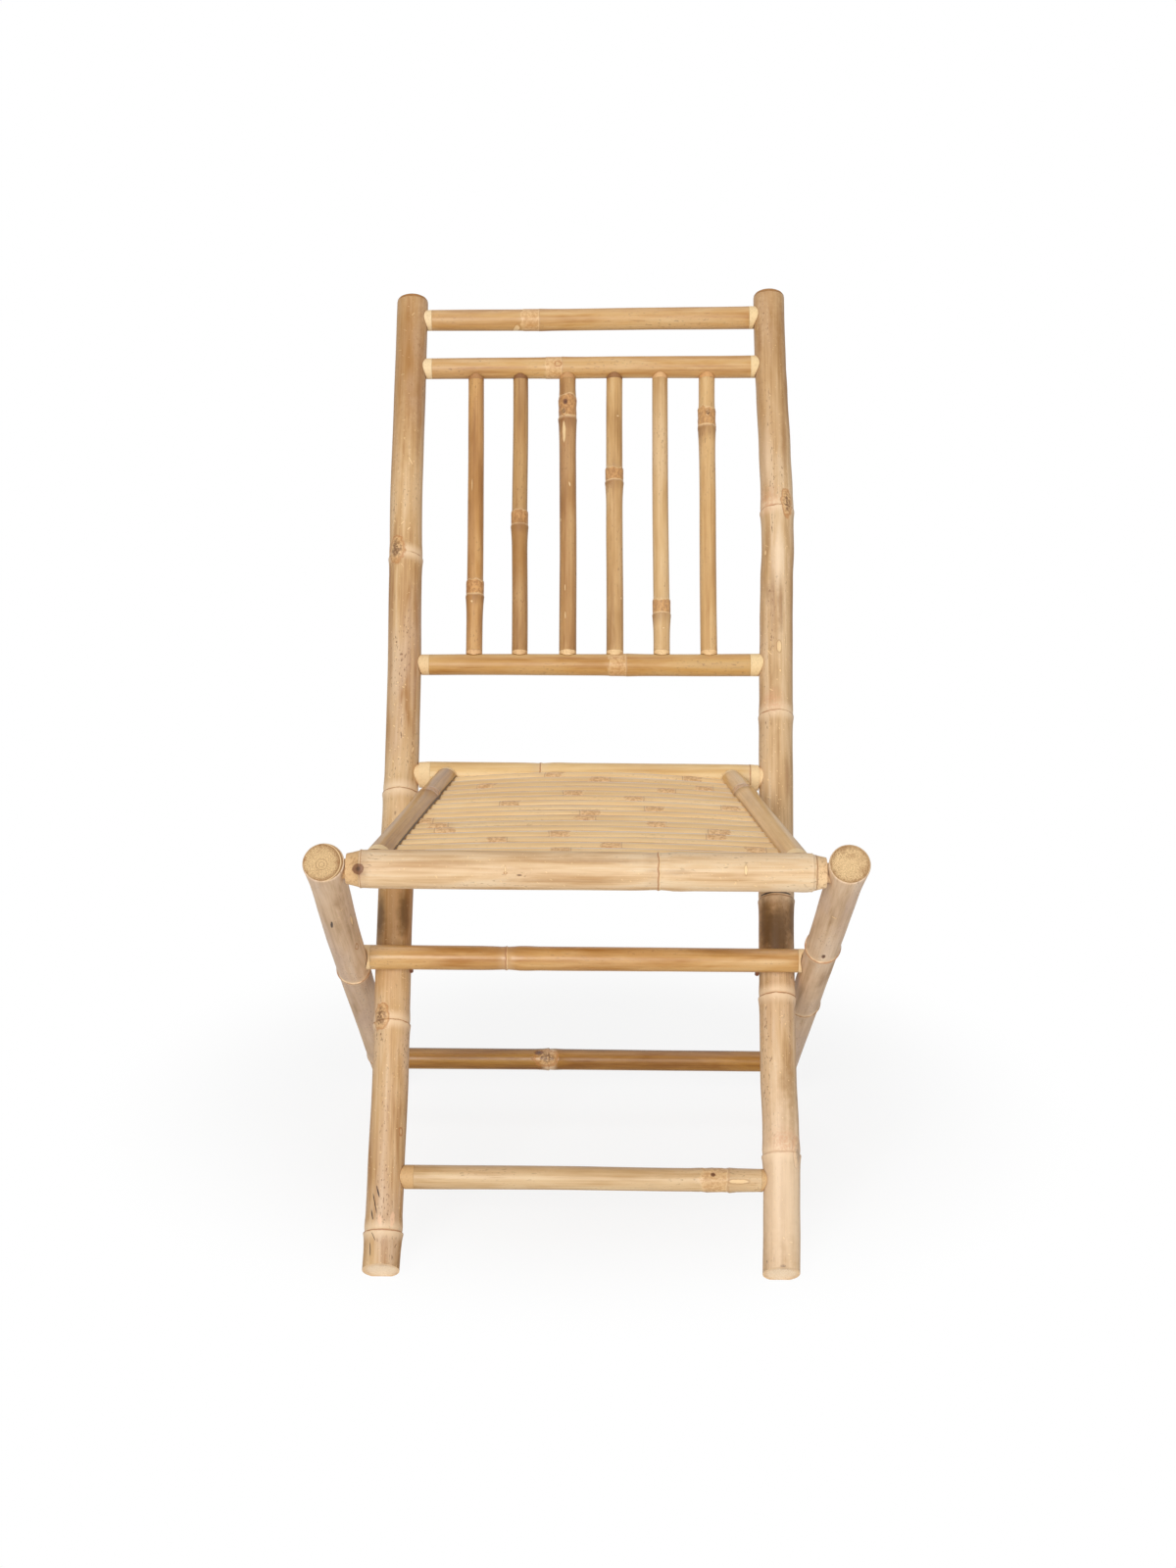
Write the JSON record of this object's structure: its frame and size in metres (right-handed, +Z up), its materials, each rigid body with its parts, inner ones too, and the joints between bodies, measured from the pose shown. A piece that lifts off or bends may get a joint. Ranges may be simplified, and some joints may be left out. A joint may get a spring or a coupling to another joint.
{
  "type": "folding chair",
  "caption": "Armless bamboo folding side chair with a spindle back, a slatted seat and crossed legs that fold alongside the back posts.",
  "frame": {"origin": "middle of the chair's bounding box, on the floor, with the chair unfolded", "axes": "+Z up, the chair's front faces -Y, +X to the right as seen from the front"},
  "size_m": [0.4612, 0.6004, 0.8661],
  "materials": {
    "post_bamboo": "satin",
    "pole_bamboo": "satin",
    "rail_bamboo": "satin",
    "spindle_bamboo": "satin",
    "slat_bamboo": "satin",
    "batten_bamboo": "satin",
    "peg_bamboo": "matt"
  },
  "bodies": {
    "back_frame": {"back_post_left": "post_bamboo", "back_post_right": "post_bamboo", "back_rail_top": "rail_bamboo", "back_rail_upper": "rail_bamboo", "back_rail_lower": "rail_bamboo", "back_spindle_1": "spindle_bamboo", "back_spindle_2": "spindle_bamboo", "back_spindle_3": "spindle_bamboo", "back_spindle_4": "spindle_bamboo", "back_spindle_5": "spindle_bamboo", "back_spindle_6": "spindle_bamboo", "foot_rail": "rail_bamboo"},
    "seat": {"seat_rear_rail": "rail_bamboo", "seat_front_rail": "post_bamboo", "seat_batten_left": "batten_bamboo", "seat_batten_right": "batten_bamboo", "seat_bearer_left": "rail_bamboo", "seat_bearer_middle": "rail_bamboo", "seat_bearer_right": "rail_bamboo", "seat_peg_left_1": "peg_bamboo", "seat_peg_left_2": "peg_bamboo", "seat_peg_left_3": "peg_bamboo", "seat_peg_right_1": "peg_bamboo", "seat_peg_right_2": "peg_bamboo", "seat_peg_right_3": "peg_bamboo", "seat_slat_01": "slat_bamboo", "seat_slat_02": "slat_bamboo", "seat_slat_03": "slat_bamboo", "seat_slat_04": "slat_bamboo", "seat_slat_05": "slat_bamboo", "seat_slat_06": "slat_bamboo", "seat_slat_07": "slat_bamboo", "seat_slat_08": "slat_bamboo", "seat_slat_09": "slat_bamboo", "seat_slat_10": "slat_bamboo", "seat_slat_11": "slat_bamboo", "seat_slat_12": "slat_bamboo", "seat_slat_13": "slat_bamboo", "seat_slat_14": "slat_bamboo", "seat_slat_15": "slat_bamboo", "seat_slat_16": "slat_bamboo"},
    "leg_frame": {"leg_pole_left": "pole_bamboo", "leg_pole_right": "pole_bamboo", "mid_stretcher": "rail_bamboo", "rear_stretcher": "rail_bamboo", "guide_peg_left": "peg_bamboo", "guide_peg_right": "peg_bamboo"}
  },
  "joints": [
    {"name": "seat_fold", "type": "hinge", "parent": "back_frame", "child": "seat", "pos_m": [0, 0.03783, 0.41397], "axis": [-1, 0, 0], "range_deg": [0, 94]},
    {"name": "leg_fold", "type": "hinge", "parent": "seat", "child": "leg_frame", "pos_m": [0, -0.27317, 0.41397], "axis": [1, 0, 0], "range_deg": [0, 29]}
  ],
  "couplings": [
    {"joint": "leg_fold", "follows": "seat_fold", "ratio": 0.308}
  ]
}
